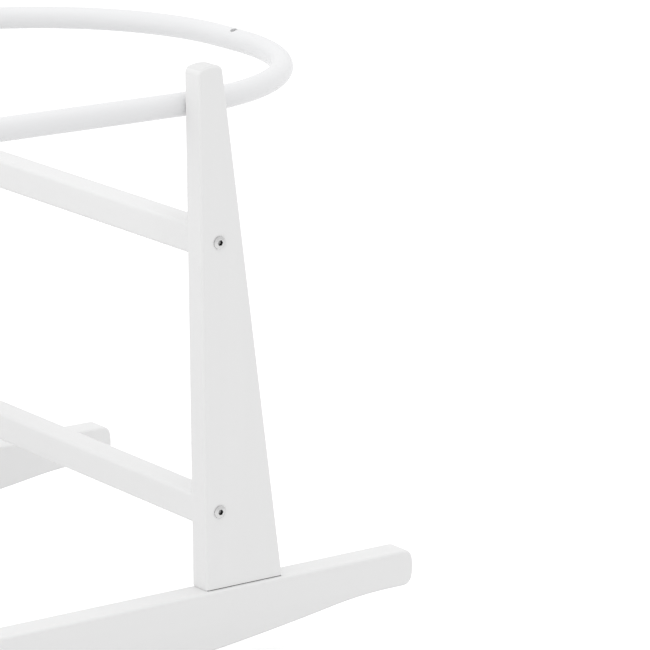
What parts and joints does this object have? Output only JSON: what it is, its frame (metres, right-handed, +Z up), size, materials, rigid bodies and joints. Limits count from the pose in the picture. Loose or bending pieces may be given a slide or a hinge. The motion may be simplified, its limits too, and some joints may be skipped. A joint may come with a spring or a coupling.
{
  "type": "baby basket rocking stand",
  "caption": "Low rocking stand for a wicker baby basket: curved wooden rockers, tapered posts, cross rails and an oval hoop of steel tube that holds the basket",
  "frame": {"origin": "on the floor, under the middle of the stand, which rests on the lowest line of its rockers", "axes": "+X along the rockers, +Y from the front rocker to the rear one, +Z up"},
  "size_m": [0.8, 0.4142, 0.4255],
  "materials": {
    "painted_wood": "white satin paint",
    "hoop_coating": "white gloss powder coat on steel tube",
    "bolt_steel": "nickel-plated steel",
    "zinc_steel": "zinc-plated steel",
    "dowel_wood": "bare beech",
    "nylon": "natural nylon"
  },
  "bodies": {
    "root": {"rocker_front": "painted_wood", "rocker_rear": "painted_wood", "post_front_left": "painted_wood", "post_front_right": "painted_wood", "post_rear_left": "painted_wood", "post_rear_right": "painted_wood", "upper_rail_left": "painted_wood", "upper_rail_right": "painted_wood", "lower_rail_left": "painted_wood", "lower_rail_right": "painted_wood", "hoop": "hoop_coating", "upper_left_rail_bolts": "bolt_steel", "upper_right_rail_bolts": "bolt_steel", "lower_left_rail_bolts": "bolt_steel", "lower_right_rail_bolts": "bolt_steel", "upper_left_barrel_nuts": "zinc_steel", "upper_right_barrel_nuts": "zinc_steel", "lower_left_barrel_nuts": "zinc_steel", "lower_right_barrel_nuts": "zinc_steel", "front_foot_bolts": "zinc_steel", "rear_foot_bolts": "zinc_steel", "front_foot_barrel_nuts": "zinc_steel", "rear_foot_barrel_nuts": "zinc_steel", "front_foot_dowels": "dowel_wood", "rear_foot_dowels": "dowel_wood", "front_hoop_screws": "bolt_steel", "rear_hoop_screws": "bolt_steel", "front_saddle_washers": "nylon", "rear_saddle_washers": "nylon", "front_hoop_inserts": "zinc_steel", "rear_hoop_inserts": "zinc_steel"}
  },
  "joints": []
}
